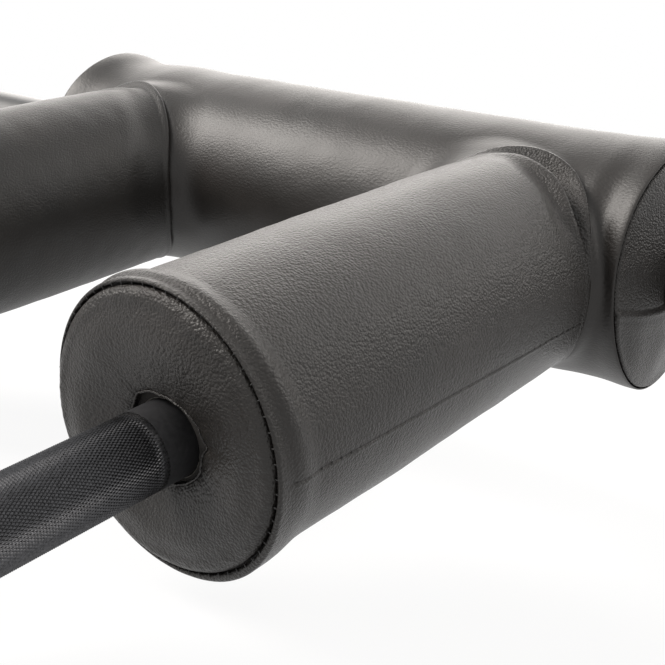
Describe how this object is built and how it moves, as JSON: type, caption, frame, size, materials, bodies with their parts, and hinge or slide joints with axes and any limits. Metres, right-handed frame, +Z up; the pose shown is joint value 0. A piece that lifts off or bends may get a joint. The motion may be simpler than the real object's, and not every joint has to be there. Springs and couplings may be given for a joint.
{
  "type": "safety squat bar",
  "caption": "Cambered barbell with a padded neck roll, padded shoulder arms that end in forward knurled handles, and turning sleeves for weight plates.",
  "frame": {"origin": "middle of the box's underside, on the floor that the bar rests on", "axes": "+X along the shaft towards the lifter's left, -Y forward along the handles, +Z up; the bar rests on its stop collars and handle ends, so its arms tilt down about 19 degrees to the front"},
  "size_m": [2.3244, 0.448, 0.1984],
  "materials": {
    "leatherette": "satin",
    "foam": "matte",
    "coated_steel": "satin",
    "knurled_steel": "satin",
    "weld_steel": "matte",
    "chrome": "gloss",
    "ground_steel": "satin",
    "spring_steel": "satin",
    "bronze": "satin",
    "black_plastic": "matte"
  },
  "bodies": {
    "frame": {"center_shaft": "coated_steel", "neck_foam": "foam", "neck_cover": "leatherette", "left_camber_bend": "coated_steel", "left_camber_weld": "coated_steel", "left_arm_tube": "knurled_steel", "left_arm_weld": "weld_steel", "left_handle_end_plug": "black_plastic", "left_shoulder_foam": "foam", "left_shoulder_cover": "leatherette", "left_shoulder_end_panel": "leatherette", "left_neck_end_panel": "leatherette", "left_spindle": "ground_steel", "left_thrust_washer": "ground_steel", "left_retaining_washer": "ground_steel", "left_snap_ring": "spring_steel", "right_camber_bend": "coated_steel", "right_camber_weld": "coated_steel", "right_arm_tube": "knurled_steel", "right_arm_weld": "weld_steel", "right_handle_end_plug": "black_plastic", "right_shoulder_foam": "foam", "right_shoulder_cover": "leatherette", "right_shoulder_end_panel": "leatherette", "right_neck_end_panel": "leatherette", "right_spindle": "ground_steel", "right_thrust_washer": "ground_steel", "right_retaining_washer": "ground_steel", "right_snap_ring": "spring_steel"},
    "left_sleeve": {"left_sleeve_tube": "chrome", "left_stop_collar": "chrome", "left_inner_bushing": "bronze", "left_outer_bushing": "bronze", "left_end_cap": "chrome", "left_end_clip": "spring_steel"},
    "right_sleeve": {"right_sleeve_tube": "chrome", "right_stop_collar": "chrome", "right_inner_bushing": "bronze", "right_outer_bushing": "bronze", "right_end_cap": "chrome", "right_end_clip": "spring_steel"}
  },
  "joints": [
    {"name": "left_sleeve_spin", "type": "hinge", "parent": "frame", "child": "left_sleeve", "pos_m": [0.95, 0.1617, 0.04187], "axis": [1, 0, 0], "continuous": true},
    {"name": "right_sleeve_spin", "type": "hinge", "parent": "frame", "child": "right_sleeve", "pos_m": [-0.95, 0.1617, 0.04187], "axis": [1, 0, 0], "continuous": true}
  ]
}
